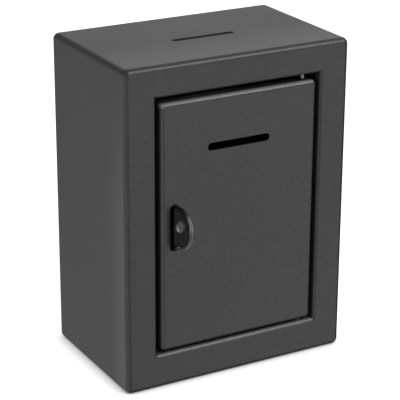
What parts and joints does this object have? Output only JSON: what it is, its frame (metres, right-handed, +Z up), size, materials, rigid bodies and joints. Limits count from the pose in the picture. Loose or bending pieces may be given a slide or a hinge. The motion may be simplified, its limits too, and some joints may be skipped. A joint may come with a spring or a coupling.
{
  "type": "donation box",
  "caption": "Sheet steel donation box with a slot in the top, an inset pin-hinged door with its own slot, and a finger-pull cam lock.",
  "frame": {"origin": "middle of the base, on the surface the box stands on", "axes": "+Z up, the door and the front face look along -Y, +X to the right as seen from the front (the hinge side)"},
  "size_m": [0.18, 0.115, 0.24],
  "materials": {
    "case_paint": "satin, finely textured powder coat",
    "lock_black": "semi-gloss black",
    "plug_black": "semi-gloss black",
    "zinc_steel": "bright zinc",
    "brass": "plain",
    "black_nylon": "matte",
    "pad_rubber": "matte"
  },
  "bodies": {
    "case": {"body_shell": "case_paint", "back_panel": "case_paint", "door_stop_upper": "case_paint", "door_stop_lower": "case_paint", "stop_pad_upper": "pad_rubber", "stop_pad_lower": "pad_rubber", "hinge_thrust_washer": "black_nylon"},
    "door": {"door_panel": "case_paint", "hinge_pin_upper": "zinc_steel", "hinge_pin_lower": "zinc_steel", "hinge_clip_upper": "zinc_steel", "hinge_clip_lower": "zinc_steel", "lock_housing": "lock_black", "lock_saddle": "zinc_steel", "lock_nut": "zinc_steel"},
    "lock_core": {"lock_plug": "plug_black", "lock_wafers": "brass", "wafer_springs": "zinc_steel", "stop_washer": "zinc_steel", "lock_cam": "zinc_steel", "cam_spring_washer": "zinc_steel", "cam_screw": "zinc_steel"}
  },
  "joints": [
    {"name": "door_hinge", "type": "hinge", "parent": "case", "child": "door", "pos_m": [0.0543, -0.0512, 0.12], "axis": [0, 0, 1], "range_deg": [0, 110]},
    {"name": "lock_turn", "type": "hinge", "parent": "door", "child": "lock_core", "pos_m": [-0.0457, -0.0567, 0.12005], "axis": [0, 1, 0], "range_deg": [0, 90]}
  ]
}
